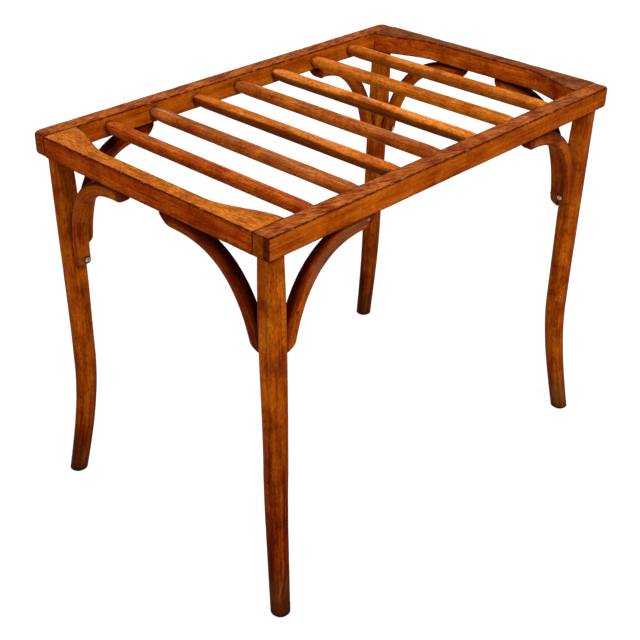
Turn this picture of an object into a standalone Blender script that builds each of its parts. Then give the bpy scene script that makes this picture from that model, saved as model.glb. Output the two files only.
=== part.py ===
"""Luggage rack: a slatted top on four sabre legs with bentwood knee brackets.

Metres, +Z up. The origin is on the floor below the middle of the top. +X runs along the long rails.
Sizes with the word inset are measured inwards from the outer faces of the top, at the nearest corner.
"""
import math

import bmesh
import bpy
from mathutils import Matrix, Vector

# The top
TOP_LENGTH = 0.640
TOP_DEPTH = 0.400
TOP_HEIGHT = 0.510
RAIL_HEIGHT = 0.027
LONG_RAIL_WIDTH = 0.024
END_RAIL_WAIST = 0.0215
END_RAIL_SHOULDER = 0.047
OGEE_LENGTH = 0.092
CORNER_RADIUS = 0.007
ARRIS_BEVEL = 0.0012

# The joint of an end rail in a long rail
TENON_INSET = 0.031
TENON_WIDTH = 0.013
TENON_HEIGHT = 0.010
TENON_LENGTH = 0.015

# The slats: the places are shares of the way from the first to the last, which are spaced by hand
SLAT_LEFT_INSET = 0.0960
SLAT_RIGHT_INSET = 0.1012
SLAT_PLACES = (0.0, 0.160, 0.323, 0.490, 0.650, 0.828, 1.0)
SLAT_RADIUS = 0.0090
SLAT_END_RADIUS = 0.0068
SLAT_TAPER = 0.026
SLAT_SOCKET_DEPTH = 0.012

# The legs: insets of the centre line at the top, at the knee and at the foot
LEG_TOP_INSET = (0.0227, 0.0197)
LEG_KNEE_INSET = (0.0288, 0.0198)
LEG_FOOT_INSET = (0.0143, -0.0020)
LEG_KNEE_HEIGHT = 0.190
LEG_TOP_LEAN = 0.03
LEG_FOOT_LEAN = (0.12, 0.17)
LEG_TOP_SIDE = 0.0225
LEG_TOP_ROUND = 0.004
LEG_KNEE_SIDE = 0.0292
LEG_FOOT_SIDE = 0.0245
LEG_FOOT_CHAMFER = 0.002
LEG_TENON_RADIUS = 0.005
LEG_TENON_WALL = 0.0025
LEG_TENON_LENGTH = 0.016

# The knee brackets: each was bent by hand, so their drops and the reaches of their bends differ
BRACKET_WIDTH = 0.0180
BRACKET_THICKNESS = 0.0185
BRACKET_ROUND = 0.006
BRACKET_DROPS = {
    "end": {"front_left": 0.129, "front_right": 0.149, "back_left": 0.147, "back_right": 0.134},
    "long": {"front_left": 0.129, "front_right": 0.136, "back_left": 0.129, "back_right": 0.140},
}
BRACKET_REACHES = {
    "end": {"front_left": 0.116, "front_right": 0.116, "back_left": 0.107, "back_right": 0.116},
    "long": {"front_left": 0.116, "front_right": 0.124, "back_left": 0.116, "back_right": 0.116},
}
BRACKET_RUN_ON_END_RAIL = 0.015
BRACKET_RUN_ON_LONG_RAIL = 0.006
BRACKET_RAIL_HANDLE = 0.293  # share of the reach
BRACKET_LEG_HANDLE = 0.915  # share of the drop
BRACKET_LEG_LEAN = 0.10
BRACKET_SEAT_CUT = 0.003
BRACKET_TIP_NOSE = 0.014
BRACKET_LEG_NOSE = 0.010
BRACKET_END_THICKNESS = 0.003

# The screws
SCREW_SHANK_RADIUS = 0.0016
SCREW_HEAD_RADIUS = 0.0036
SCREW_HEAD_HEIGHT = 0.0024
SCREW_IN_LEG = 0.0095
SCREW_IN_RAIL = 0.0120
SCREW_FROM_LEG_END = 0.0138
SCREW_FROM_TIP = 0.0185
SCREW_POINT_RADIUS = 0.0005
SCREW_POINT_LENGTH = 0.0032
SCREW_CROWN_RADIUS = 0.0007

# Clearance between pieces that touch
FIT = 0.0003

# How finely bent and round pieces are divided
SLAT_SIDES = 16
SLAT_STEPS = 4
LEG_SIDES = 20
LEG_STEPS = 6
SCREW_SIDES = 8
SCREW_DOME_STEPS = 3
CORNER_STEPS = 4
OGEE_STEPS = 10
BEND_STEPS = 60
BRACKET_STEPS = 11
NOSE_SHARES = (0.0, 0.12, 0.35, 0.65, 1.0)
SMOOTH_ANGLE = math.radians(35)
ARRIS_ANGLE = math.radians(40)

# Worked out from the sizes above
RAIL_UNDERSIDE = TOP_HEIGHT - RAIL_HEIGHT
RAIL_MIDDLE = TOP_HEIGHT - RAIL_HEIGHT / 2
CORNERS = {
    "front_left": (-1, -1),
    "front_right": (1, -1),
    "back_left": (-1, 1),
    "back_right": (1, 1),
}

# Colours of the finishes
WOOD_TOP = (0.42, 0.16, 0.045)
WOOD_SLAT = (0.40, 0.13, 0.035)
WOOD_LEG = (0.38, 0.13, 0.03)
WOOD_BRACKET = (0.36, 0.11, 0.028)
STEEL = (0.55, 0.53, 0.50)


def clear_scene():
    for obj in list(bpy.data.objects):
        bpy.data.objects.remove(obj, do_unlink=True)


def finish(name, colour, roughness, metallic):
    """A material of its own for one piece."""
    material = bpy.data.materials.new(name + "_finish")
    material.use_nodes = True
    shader = material.node_tree.nodes["Principled BSDF"]
    shader.inputs["Base Color"].default_value = (*colour, 1.0)
    shader.inputs["Roughness"].default_value = roughness
    shader.inputs["Metallic"].default_value = metallic
    return material


def add_piece(name, shape, colour, location=(0, 0, 0), roughness=0.45, metallic=0.0):
    """Turn a bmesh into a named object with its faces pointing out."""
    bmesh.ops.recalc_face_normals(shape, faces=shape.faces)
    mesh = bpy.data.meshes.new(name)
    shape.to_mesh(mesh)
    shape.free()
    mesh.shade_smooth()
    mesh.set_sharp_from_angle(angle=SMOOTH_ANGLE)
    obj = bpy.data.objects.new(name, mesh)
    obj.location = location
    obj.data.materials.append(finish(name, colour, roughness, metallic))
    bpy.context.scene.collection.objects.link(obj)
    return obj


def add_cutter(name, shape, location=(0, 0, 0)):
    """A guide solid for a Boolean: it isn't part of the rack."""
    cutter = add_piece(name, shape, WOOD_TOP, location)
    cutter.hide_render = True
    cutter.display_type = "WIRE"
    return cutter


def combine(obj, other, operation):
    modifier = obj.modifiers.new(operation.lower(), "BOOLEAN")
    modifier.operation = operation
    modifier.solver = "EXACT"
    modifier.object = other


def ease_arrises(obj):
    """Take the sharp edge off every arris of a rail."""
    modifier = obj.modifiers.new("arris", "BEVEL")
    modifier.width = ARRIS_BEVEL
    modifier.segments = 1
    modifier.limit_method = "ANGLE"
    modifier.angle_limit = ARRIS_ANGLE


def add_loft(shape, rings):
    """Join rings of points, each with as many points as the next, into one closed skin."""
    loops = [[shape.verts.new(point) for point in ring] for ring in rings]
    count = len(loops[0])
    for lower, upper in zip(loops[:-1], loops[1:]):
        for i in range(count):
            j = (i + 1) % count
            shape.faces.new((lower[i], lower[j], upper[j], upper[i]))
    shape.faces.new(loops[0])
    shape.faces.new(loops[-1])


def add_turned(shape, profile, matrix, sides):
    """Turn (radius, distance) pairs about the local Z axis of a matrix."""
    rings = []
    for radius, distance in profile:
        ring = []
        for i in range(sides):
            angle = 2 * math.pi * i / sides
            point = Vector((radius * math.cos(angle), radius * math.sin(angle), distance))
            ring.append(matrix @ point)
        rings.append(ring)
    add_loft(shape, rings)


def add_box(shape, low, high):
    """A box between two opposite corners."""
    centre = (Vector(low) + Vector(high)) / 2
    size = Vector(high) - Vector(low)
    matrix = Matrix.Translation(centre) @ Matrix.Diagonal((*[abs(s) for s in size], 1.0))
    bmesh.ops.create_cube(shape, size=1.0, matrix=matrix)


def extrude_outline(shape, outline, bottom, top):
    """Raise a closed plan outline between two heights."""
    rings = [[Vector((x, y, height)) for x, y in outline] for height in (bottom, top)]
    add_loft(shape, rings)


def axis_matrix(origin, direction):
    """A frame at origin whose local Z runs along direction."""
    return Matrix.Translation(origin) @ direction.to_track_quat("Z", "Y").to_matrix().to_4x4()


def corner_point(corner, inset_x, inset_y, height):
    """A place given by its insets from the outer faces of the top at one corner."""
    sign_x, sign_y = CORNERS[corner]
    return Vector((sign_x * (TOP_LENGTH / 2 - inset_x), sign_y * (TOP_DEPTH / 2 - inset_y), height))


def smooth_step(share):
    share = min(max(share, 0.0), 1.0)
    return share * share * (3 - 2 * share)


def hermite(start, start_slope, end, end_slope, span, share):
    """A cubic from start to end over span, with its slope given at both ends."""
    t2 = share * share
    t3 = t2 * share
    value = start * (2 * t3 - 3 * t2 + 1) + end * (3 * t2 - 2 * t3)
    return value + span * (start_slope * (t3 - 2 * t2 + share) + end_slope * (t3 - t2))


def leg_inset(axis, height):
    """Inset of the leg's centre line along one axis: in to the knee, then out to the foot."""
    if height >= LEG_KNEE_HEIGHT:
        span = RAIL_UNDERSIDE - LEG_KNEE_HEIGHT
        share = (RAIL_UNDERSIDE - height) / span
        return hermite(LEG_TOP_INSET[axis], LEG_TOP_LEAN, LEG_KNEE_INSET[axis], 0.0, span, share)
    share = (LEG_KNEE_HEIGHT - height) / LEG_KNEE_HEIGHT
    foot = LEG_FOOT_INSET[axis]
    return hermite(LEG_KNEE_INSET[axis], 0.0, foot, -LEG_FOOT_LEAN[axis], LEG_KNEE_HEIGHT, share)


def leg_side(height):
    """Width of the leg across its faces."""
    if height >= LEG_KNEE_HEIGHT:
        share = (RAIL_UNDERSIDE - height) / (RAIL_UNDERSIDE - LEG_KNEE_HEIGHT)
        return LEG_TOP_SIDE + (LEG_KNEE_SIDE - LEG_TOP_SIDE) * math.sin(share * math.pi / 2)
    share = height / LEG_KNEE_HEIGHT
    return LEG_FOOT_SIDE + (LEG_KNEE_SIDE - LEG_FOOT_SIDE) * share


def leg_corner_radius(height):
    """The corners grow rounder from the top until the leg is round at the knee."""
    share = (RAIL_UNDERSIDE - height) / (RAIL_UNDERSIDE - LEG_KNEE_HEIGHT)
    round_radius = leg_side(height) / 2
    return LEG_TOP_ROUND + (round_radius - LEG_TOP_ROUND) * smooth_step(share)


def leg_inner_face(axis, height):
    """Inset of the leg's inner face, where the knee brackets end."""
    return leg_inset(axis, height) + leg_side(height) / 2


def rounded_section(width, low, high, radius, steps):
    """Points around a rounded rectangle: across its width, and from low to high."""
    radius = min(radius, width / 2, (high - low) / 2)
    points = []
    for quarter, (side, end) in enumerate(((1, high), (-1, high), (-1, low), (1, low))):
        centre_a = side * (width / 2 - radius)
        centre_b = end - radius if end == high else end + radius
        for i in range(steps):
            angle = math.pi / 2 * (quarter + i / (steps - 1))
            points.append((centre_a + radius * math.cos(angle), centre_b + radius * math.sin(angle)))
    return points


def long_rail_outline(side):
    """Plan of a long rail: square inside, with its two outer corners rounded."""
    half = TOP_LENGTH / 2
    outer = TOP_DEPTH / 2
    inner = outer - LONG_RAIL_WIDTH
    points = [(half, inner)]
    for end, first in ((1, 0), (-1, 1)):
        for i in range(CORNER_STEPS):
            angle = math.pi / 2 * (first + i / (CORNER_STEPS - 1))
            x = end * (half - CORNER_RADIUS) + CORNER_RADIUS * math.cos(angle)
            points.append((x, outer - CORNER_RADIUS + CORNER_RADIUS * math.sin(angle)))
    points.append((-half, inner))
    return [(x, side * y) for x, y in points]


def tenon_box(corner, grow):
    """Opposite corners of an end rail's tenon, or of its mortise where grow is the clearance."""
    shoulder = LONG_RAIL_WIDTH
    end = shoulder - TENON_LENGTH - grow
    half_height = TENON_HEIGHT / 2 + grow
    low = corner_point(corner, TENON_INSET - grow, end, RAIL_MIDDLE - half_height)
    side = TENON_INSET + TENON_WIDTH + grow
    high = corner_point(corner, side, shoulder + 2 * FIT, RAIL_MIDDLE + half_height)
    return low, high


def slat_places():
    first = SLAT_LEFT_INSET - TOP_LENGTH / 2
    last = TOP_LENGTH / 2 - SLAT_RIGHT_INSET
    return [first + (last - first) * share for share in SLAT_PLACES]


def add_long_rail(name, side):
    shape = bmesh.new()
    extrude_outline(shape, long_rail_outline(side), RAIL_UNDERSIDE, TOP_HEIGHT)
    rail = add_piece(name, shape, WOOD_TOP)
    ease_arrises(rail)

    cuts = bmesh.new()
    inner_face = side * (TOP_DEPTH / 2 - LONG_RAIL_WIDTH)
    for x in slat_places():
        start = Vector((x, inner_face - side * FIT, RAIL_MIDDLE))
        profile = [(SLAT_END_RADIUS + FIT, 0), (SLAT_END_RADIUS + FIT, SLAT_SOCKET_DEPTH + FIT)]
        add_turned(cuts, profile, axis_matrix(start, Vector((0, side, 0))), SLAT_SIDES)
    for corner, (_, corner_side) in CORNERS.items():
        if corner_side != side:
            continue
        add_box(cuts, *tenon_box(corner, FIT))
        start = corner_point(corner, *leg_tenon_inset(), RAIL_UNDERSIDE - FIT)
        radius = LEG_TENON_RADIUS + FIT
        profile = [(radius, 0), (radius, LEG_TENON_LENGTH + FIT)]
        add_turned(cuts, profile, Matrix.Translation(start), LEG_SIDES)
        add_screw_hole(cuts, rail_screw_axis(corner, "long"), SCREW_IN_RAIL)
    combine(rail, add_cutter(name + "_cuts", cuts), "DIFFERENCE")
    return rail


def end_rail_width(y):
    """Narrow in the middle, swelling in an ogee to its shoulders."""
    shoulder = TOP_DEPTH / 2 - LONG_RAIL_WIDTH
    share = (abs(y) - (shoulder - OGEE_LENGTH)) / OGEE_LENGTH
    return END_RAIL_WAIST + (END_RAIL_SHOULDER - END_RAIL_WAIST) * smooth_step(share)


def end_rail_outline(side):
    half = TOP_DEPTH / 2 - LONG_RAIL_WIDTH - FIT
    ogee = [half - OGEE_LENGTH * i / OGEE_STEPS for i in range(OGEE_STEPS + 1)]
    inner = ogee + [-y for y in reversed(ogee)]
    outer_face = TOP_LENGTH / 2
    points = [(side * outer_face, -half), (side * outer_face, half)]
    points += [(side * (outer_face - end_rail_width(y)), y) for y in inner]
    return points


def add_end_rail(name, side):
    shape = bmesh.new()
    extrude_outline(shape, end_rail_outline(side), RAIL_UNDERSIDE, TOP_HEIGHT)
    rail = add_piece(name, shape, WOOD_TOP)
    ease_arrises(rail)

    tenons = bmesh.new()
    holes = bmesh.new()
    for corner, (corner_side, _) in CORNERS.items():
        if corner_side == side:
            add_box(tenons, *tenon_box(corner, 0.0))
            add_screw_hole(holes, rail_screw_axis(corner, "end"), SCREW_IN_RAIL)
    combine(rail, add_cutter(name + "_tenons", tenons), "UNION")
    combine(rail, add_cutter(name + "_holes", holes), "DIFFERENCE")
    return rail


def add_slat(name, x):
    half_span = TOP_DEPTH / 2 - LONG_RAIL_WIDTH
    swell = SLAT_RADIUS - SLAT_END_RADIUS
    half_profile = []
    for i in range(SLAT_STEPS + 1):
        share = i / SLAT_STEPS
        radius = SLAT_END_RADIUS + swell * (1 - share * share)
        half_profile.append((radius, half_span - SLAT_TAPER * (1 - share)))
    half_profile.append((SLAT_END_RADIUS, half_span + SLAT_SOCKET_DEPTH - FIT))
    profile = [(radius, -y) for radius, y in reversed(half_profile)] + half_profile
    shape = bmesh.new()
    add_turned(shape, profile, axis_matrix(Vector((0, 0, 0)), Vector((0, 1, 0))), SLAT_SIDES)
    return add_piece(name, shape, WOOD_SLAT, (x, 0, RAIL_MIDDLE))


def leg_ring(corner, centre, height, side, radius):
    """One section of a leg, as points around its centre."""
    steps = LEG_SIDES // 4
    section = rounded_section(side, -side / 2, side / 2, radius, steps)
    return [corner_point(corner, centre[0] + a, centre[1] + b, height) for a, b in section]


def leg_centre(height):
    return leg_inset(0, height), leg_inset(1, height)


def leg_tenon_inset():
    """The tenon stands wholly in the long rail, a wall away from its inner face."""
    return LEG_TOP_INSET[0], LONG_RAIL_WIDTH - LEG_TENON_WALL - LEG_TENON_RADIUS


def add_leg(corner):
    top = RAIL_UNDERSIDE - FIT
    heights = [LEG_FOOT_CHAMFER]
    heights += [LEG_KNEE_HEIGHT * i / LEG_STEPS for i in range(1, LEG_STEPS)]
    heights += [LEG_KNEE_HEIGHT + (top - LEG_KNEE_HEIGHT) * i / LEG_STEPS for i in range(LEG_STEPS + 1)]
    foot_side = LEG_FOOT_SIDE - 2 * LEG_FOOT_CHAMFER
    rings = [leg_ring(corner, leg_centre(0.0), 0.0, foot_side, foot_side / 2)]
    for height in heights:
        radius = leg_corner_radius(height)
        rings.append(leg_ring(corner, leg_centre(height), height, leg_side(height), radius))
    tenon = leg_ring(corner, leg_tenon_inset(), top, 2 * LEG_TENON_RADIUS, LEG_TENON_RADIUS)
    rings.append(tenon)
    rings.append([point + Vector((0, 0, LEG_TENON_LENGTH)) for point in tenon])

    shape = bmesh.new()
    add_loft(shape, rings)
    leg = add_piece("leg_" + corner, shape, WOOD_LEG)
    holes = bmesh.new()
    for kind in ("end", "long"):
        add_screw_hole(holes, leg_screw_axis(corner, kind), SCREW_IN_LEG)
    combine(leg, add_cutter("leg_" + corner + "_holes", holes), "DIFFERENCE")
    return leg


def bracket_axes(kind):
    """Along the rail and across it: an end bracket runs along Y, a long bracket along X."""
    return (1, 0) if kind == "end" else (0, 1)


def bracket_lower_height(corner, kind):
    return RAIL_UNDERSIDE - BRACKET_DROPS[kind][corner]


def bracket_lower_inset(corner, kind):
    """Inset of the bracket's centre line where it ends on the leg."""
    along, _ = bracket_axes(kind)
    face = leg_inner_face(along, bracket_lower_height(corner, kind))
    return face + BRACKET_THICKNESS / 2 - BRACKET_SEAT_CUT


def bracket_line(corner, kind):
    """The bent centre line from the tip under the rail to the end on the leg, as (inset, height)."""
    reach = BRACKET_REACHES[kind][corner]
    leg_end = Vector((bracket_lower_inset(corner, kind), bracket_lower_height(corner, kind)))
    rail_end = Vector((leg_end.x + reach, RAIL_UNDERSIDE - FIT - BRACKET_THICKNESS / 2))
    handle_1 = rail_end - Vector((BRACKET_RAIL_HANDLE * reach, 0))
    lean = Vector((math.sin(BRACKET_LEG_LEAN), math.cos(BRACKET_LEG_LEAN)))
    handle_2 = leg_end + BRACKET_LEG_HANDLE * BRACKET_DROPS[kind][corner] * lean
    run = BRACKET_RUN_ON_END_RAIL if kind == "end" else BRACKET_RUN_ON_LONG_RAIL
    points = [rail_end + Vector((run, 0))]
    for i in range(BEND_STEPS + 1):
        t = i / BEND_STEPS
        s = 1 - t
        ends = s ** 3 * rail_end + t ** 3 * leg_end
        points.append(ends + 3 * s * s * t * handle_1 + 3 * s * t * t * handle_2)
    return points


def along_line(points, distance):
    """The place and the direction at a distance along a line of points."""
    for start, end in zip(points[:-1], points[1:]):
        step = end - start
        if distance <= step.length or end is points[-1]:
            direction = step.normalized()
            return start + direction * distance, direction
        distance -= step.length


def line_length(points):
    return sum((b - a).length for a, b in zip(points[:-1], points[1:]))


def bracket_plane_inset(corner, kind, height):
    """The bracket leans with the leg, from below the middle of the rail to the middle of the leg."""
    _, across = bracket_axes(kind)
    rail_middle = (END_RAIL_WAIST if kind == "end" else LONG_RAIL_WIDTH) / 2
    lower = bracket_lower_height(corner, kind)
    share = (RAIL_UNDERSIDE - height) / BRACKET_DROPS[kind][corner]
    return rail_middle + (leg_inset(across, lower) - rail_middle) * share


def bracket_point(corner, kind, inset_along, inset_across, height):
    if kind == "end":
        return corner_point(corner, inset_across, inset_along, height)
    return corner_point(corner, inset_along, inset_across, height)


def nose_cut(distance, nose):
    """How much of the concave side is rounded away at a distance from the end."""
    if distance >= nose:
        return 0.0
    share = (nose - distance) / nose
    return (BRACKET_THICKNESS - BRACKET_END_THICKNESS) * (1 - math.sqrt(1 - share * share))


def bracket_stations(length):
    """Distances along the bracket at which it has a section, closer together in both noses."""
    first = [BRACKET_TIP_NOSE * share for share in NOSE_SHARES]
    last = [length - BRACKET_LEG_NOSE * share for share in reversed(NOSE_SHARES)]
    step = (last[0] - first[-1]) / BRACKET_STEPS
    middle = [first[-1] + step * i for i in range(1, BRACKET_STEPS)]
    return first + middle + last


def add_bracket(corner, kind):
    along, _ = bracket_axes(kind)
    line = bracket_line(corner, kind)
    length = line_length(line)
    half = BRACKET_THICKNESS / 2
    rings = []
    for distance in bracket_stations(length):
        centre, direction = along_line(line, distance)
        outward = Vector((direction.y, -direction.x))
        cut = nose_cut(distance, BRACKET_TIP_NOSE) + nose_cut(length - distance, BRACKET_LEG_NOSE)
        ring = []
        section = rounded_section(BRACKET_WIDTH, cut - half, half, BRACKET_ROUND, CORNER_STEPS)
        for across, out in section:
            place = centre + outward * out
            height = min(place.y, RAIL_UNDERSIDE - FIT)
            inset = max(place.x, leg_inner_face(along, height) + FIT)
            plane = bracket_plane_inset(corner, kind, height)
            ring.append(bracket_point(corner, kind, inset, plane + across, height))
        rings.append(ring)
    shape = bmesh.new()
    add_loft(shape, rings)
    bracket = add_piece(kind + "_bracket_" + corner, shape, WOOD_BRACKET)

    holes = bmesh.new()
    for origin, direction in (leg_screw_axis(corner, kind), rail_screw_axis(corner, kind)):
        start = axis_matrix(origin, direction)
        radius = SCREW_SHANK_RADIUS + FIT
        reach = 2 * BRACKET_THICKNESS
        add_turned(holes, [(radius, -reach / 2), (radius, reach)], start, SCREW_SIDES)
    combine(bracket, add_cutter(bracket.name + "_holes", holes), "DIFFERENCE")
    return bracket


def screw_axis(corner, kind, distance):
    """Where a screw's head sits on the concave side, and the way it is driven."""
    centre, direction = along_line(bracket_line(corner, kind), distance)
    outward = Vector((direction.y, -direction.x))
    seat = centre - outward * (BRACKET_THICKNESS / 2 + FIT)
    plane = bracket_plane_inset(corner, kind, seat.y)
    origin = bracket_point(corner, kind, seat.x, plane, seat.y)
    target = bracket_point(corner, kind, centre.x, plane, centre.y)
    return origin, (target - origin).normalized()


def leg_screw_axis(corner, kind):
    length = line_length(bracket_line(corner, kind))
    return screw_axis(corner, kind, length - SCREW_FROM_LEG_END)


def rail_screw_axis(corner, kind):
    return screw_axis(corner, kind, SCREW_FROM_TIP)


def screw_length(grip):
    """From the head's seat to the point: through the bracket and into what it is driven in."""
    return BRACKET_THICKNESS + 2 * FIT + grip


def add_screw_hole(shape, axis, grip):
    """A blind hole for the part of a screw that is past its bracket."""
    radius = SCREW_SHANK_RADIUS + FIT
    profile = [(radius, BRACKET_THICKNESS / 2), (radius, screw_length(grip) + FIT)]
    add_turned(shape, profile, axis_matrix(*axis), SCREW_SIDES)


def add_screw(name, axis, grip):
    """A round-head screw with its head seated on the bracket."""
    length = screw_length(grip)
    shank = SCREW_SHANK_RADIUS
    head = SCREW_HEAD_RADIUS
    profile = [(SCREW_POINT_RADIUS, length), (shank, length - SCREW_POINT_LENGTH)]
    profile += [(shank, 0.0), (head, 0.0)]
    for i in range(1, SCREW_DOME_STEPS):
        turn = math.pi / 2 * i / SCREW_DOME_STEPS
        profile.append((head * math.cos(turn), -SCREW_HEAD_HEIGHT * math.sin(turn)))
    profile.append((SCREW_CROWN_RADIUS, -SCREW_HEAD_HEIGHT))
    shape = bmesh.new()
    add_turned(shape, profile, axis_matrix(*axis), SCREW_SIDES)
    return add_piece(name, shape, STEEL, roughness=0.35, metallic=1.0)


def main():
    clear_scene()
    add_long_rail("front_rail", -1)
    add_long_rail("back_rail", 1)
    add_end_rail("left_end_rail", -1)
    add_end_rail("right_end_rail", 1)
    for number, x in enumerate(slat_places(), start=1):
        add_slat("slat_%d" % number, x)
    for corner in CORNERS:
        add_leg(corner)
        for kind in ("end", "long"):
            add_bracket(corner, kind)
            add_screw("%s_leg_screw_%s" % (kind, corner), leg_screw_axis(corner, kind), SCREW_IN_LEG)
            add_screw("%s_rail_screw_%s" % (kind, corner), rail_screw_axis(corner, kind), SCREW_IN_RAIL)


main()
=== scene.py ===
"""Looks of the luggage rack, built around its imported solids.

Metres, +Z up, in the frame of the solids. Each visible piece stands for one solid, has the same form with
more detail, and lies inside it. Insets are measured as in the solids, from the outer faces of the top.
"""
import itertools
import math

import bmesh
import bpy
from mathutils import Matrix, Vector, noise


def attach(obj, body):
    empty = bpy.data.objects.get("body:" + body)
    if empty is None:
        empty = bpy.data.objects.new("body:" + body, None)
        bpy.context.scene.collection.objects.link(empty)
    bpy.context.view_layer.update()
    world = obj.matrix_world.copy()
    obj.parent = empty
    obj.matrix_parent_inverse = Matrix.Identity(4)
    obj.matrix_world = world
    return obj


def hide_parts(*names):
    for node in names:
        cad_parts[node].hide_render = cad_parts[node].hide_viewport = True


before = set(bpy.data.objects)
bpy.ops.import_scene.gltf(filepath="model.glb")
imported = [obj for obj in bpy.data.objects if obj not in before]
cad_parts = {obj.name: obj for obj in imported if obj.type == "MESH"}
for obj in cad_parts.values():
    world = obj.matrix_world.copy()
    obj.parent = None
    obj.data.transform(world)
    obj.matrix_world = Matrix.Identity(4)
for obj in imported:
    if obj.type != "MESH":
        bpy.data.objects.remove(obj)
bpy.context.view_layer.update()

CORNERS = {"front_left": (-1, -1), "front_right": (1, -1), "back_left": (-1, 1), "back_right": (1, 1)}
FIT = 0.0003

# The top
TOP_LENGTH = 0.640
TOP_DEPTH = 0.400
TOP_HEIGHT = 0.510
RAIL_HEIGHT = 0.027
RAIL_UNDERSIDE = TOP_HEIGHT - RAIL_HEIGHT
RAIL_MIDDLE = TOP_HEIGHT - RAIL_HEIGHT / 2
LONG_RAIL_WIDTH = 0.024
END_RAIL_WAIST = 0.0215
END_RAIL_SHOULDER = 0.047
OGEE_LENGTH = 0.092
INNER_FACE = TOP_DEPTH / 2 - LONG_RAIL_WIDTH

# Its arrises and corners: the front left corner is sharp, and the others are well rounded
ARRIS = 0.0014
JOINT_ARRIS = 0.0005
JOINT_ARRIS_RANGE = (END_RAIL_SHOULDER + 0.004, END_RAIL_SHOULDER - 0.002)
CORNER_RADIUS = 0.0085
END_ARRIS = 0.0040
FREE_CORNER_ARRIS = 0.0042
FREE_CORNER_RANGE = (0.012, 0.002)
SHARP_CORNER_RADIUS = 0.004
SHARP_END_ARRIS = 0.0018
END_ARRIS_OUTSIDE = 0.5
END_ARRIS_INSIDE = 0.3

# The slats
SLAT_LEFT_INSET = 0.0960
SLAT_RIGHT_INSET = 0.1012
SLAT_PLACES = (0.0, 0.160, 0.323, 0.490, 0.650, 0.828, 1.0)
SLAT_RADIUS = 0.0090
SLAT_END_RADIUS = 0.0068
SLAT_TAPER = 0.026
SLAT_SOCKET_DEPTH = 0.012
SOCKET_OVERCUT = 0.001

# The legs: insets of the centre line at the top, at the knee and at the foot
LEG_TOP_INSET = (0.0227, 0.0197)
LEG_KNEE_INSET = (0.0288, 0.0198)
LEG_FOOT_INSET = (0.0143, -0.0020)
LEG_KNEE_HEIGHT = 0.190
LEG_TOP_LEAN = 0.03
LEG_FOOT_LEAN = (0.12, 0.17)
LEG_TOP_SIDE = 0.0225
LEG_TOP_ROUND = 0.004
LEG_KNEE_SIDE = 0.0292
LEG_FOOT_SIDE = 0.0245
LEG_FOOT_CHAMFER = 0.002
LEG_ROUNDEST = 0.985

# The knee brackets, bent by hand
BRACKET_WIDTH = 0.0180
BRACKET_THICKNESS = 0.0185
BRACKET_ROUND = 0.006
BRACKET_ROUNDEST = 0.98
BRACKET_DROPS = {
    "end": dict(zip(CORNERS, (0.129, 0.149, 0.147, 0.134))),
    "long": dict(zip(CORNERS, (0.129, 0.136, 0.129, 0.140))),
}
BRACKET_REACHES = {
    "end": dict(zip(CORNERS, (0.116, 0.116, 0.107, 0.116))),
    "long": dict(zip(CORNERS, (0.116, 0.124, 0.116, 0.116))),
}
BRACKET_RUN = {"end": 0.015, "long": 0.006}
ALONG = {"end": 1, "long": 0}
BRACKET_RAIL_HANDLE = 0.293
BRACKET_LEG_HANDLE = 0.915
BRACKET_LEG_LEAN = 0.10
BRACKET_SEAT_CUT = 0.003
BRACKET_TIP_NOSE = 0.014
BRACKET_LEG_NOSE = 0.010
BRACKET_END_THICKNESS = 0.003
BRACKET_LINE_STEPS = 120

# The screws
SCREW_SHANK_RADIUS = 0.0016
SCREW_TIP_RADIUS = 0.0005
SCREW_HEAD_RADIUS = 0.0036
SCREW_HEAD_HEIGHT = 0.0024
SCREW_RIM_HEIGHT = 0.0002
SCREW_SEAT_SHARE = 0.93
SCREW_SLOT_WIDTH = 0.0011
SCREW_SLOT_DEPTH = 0.0012
SCREW_SLOT_TURN = 0.35
SCREW_IN_LEG = 0.0095
SCREW_IN_RAIL = 0.0120
SCREW_FROM_LEG_END = 0.0138
SCREW_FROM_TIP = 0.0185

# Meshes: distances of the first rings from each end, steps between the rings, and points around them
LONG_RAIL_RINGS = (0.0, 0.0003, 0.0008, 0.0016, 0.0028, 0.0044, 0.0064, 0.0088, 0.012)
END_RAIL_RINGS = (0.0, 0.0002, JOINT_ARRIS, 0.0015, 0.004)
SLAT_RINGS = (0.0, 0.006, 0.0110, 0.0117, 0.0135, 0.016, 0.019, 0.023, 0.027)
LEG_RINGS = (0.0, 0.0007, 0.0014, 0.002, 0.004)
BRACKET_RINGS = (0.0, 0.0004, 0.0012, 0.0025, 0.0042, 0.0062, 0.0085, 0.0110, 0.0140)
RING_STEP = 0.005
END_RAIL_STEP = 0.004
BRACKET_STEP = 0.003
FLAT_SHARES = (0.06, 0.2, 0.4, 0.6, 0.8, 0.94)
ARC_STEPS = 4
ROUND_ARC_STEPS = 6
SLAT_SIDES = 40
SCREW_SIDES = 32
SCREW_DOME_STEPS = 7
CAP_SHARES = (0.93, 0.7, 0.35)
LONG_RAIL_CAP_SHARES = (0.93, 0.76, 0.56, 0.35)
SCREW_CAP_SHARES = (0.5,)
SHARP_ANGLE = math.radians(42)
SCREW_SHARP_ANGLE = math.radians(35)
NO_RECORD = (0, 0, 0, 0)
FAR_FROM_ARRIS = 1.0

# Wear: how deep the surface is worn, and how deep its arrises are dented
LONG_RAIL_WEAR = (0.00025, 0.0012)
END_RAIL_WEAR = (0.00025, 0.0009)
SLAT_WEAR = (0.0005, 0.0)
LEG_WEAR = (0.0004, 0.0008)
BRACKET_WEAR = (0.00035, 0.0006)
SLOW_WAVES = 34
SLOW_SHARE = 0.7
FINE_WAVES = 130
FINE_SHARE = 0.3
DENT_WAVES = 75
DENT_FLOOR = 0.22

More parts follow.
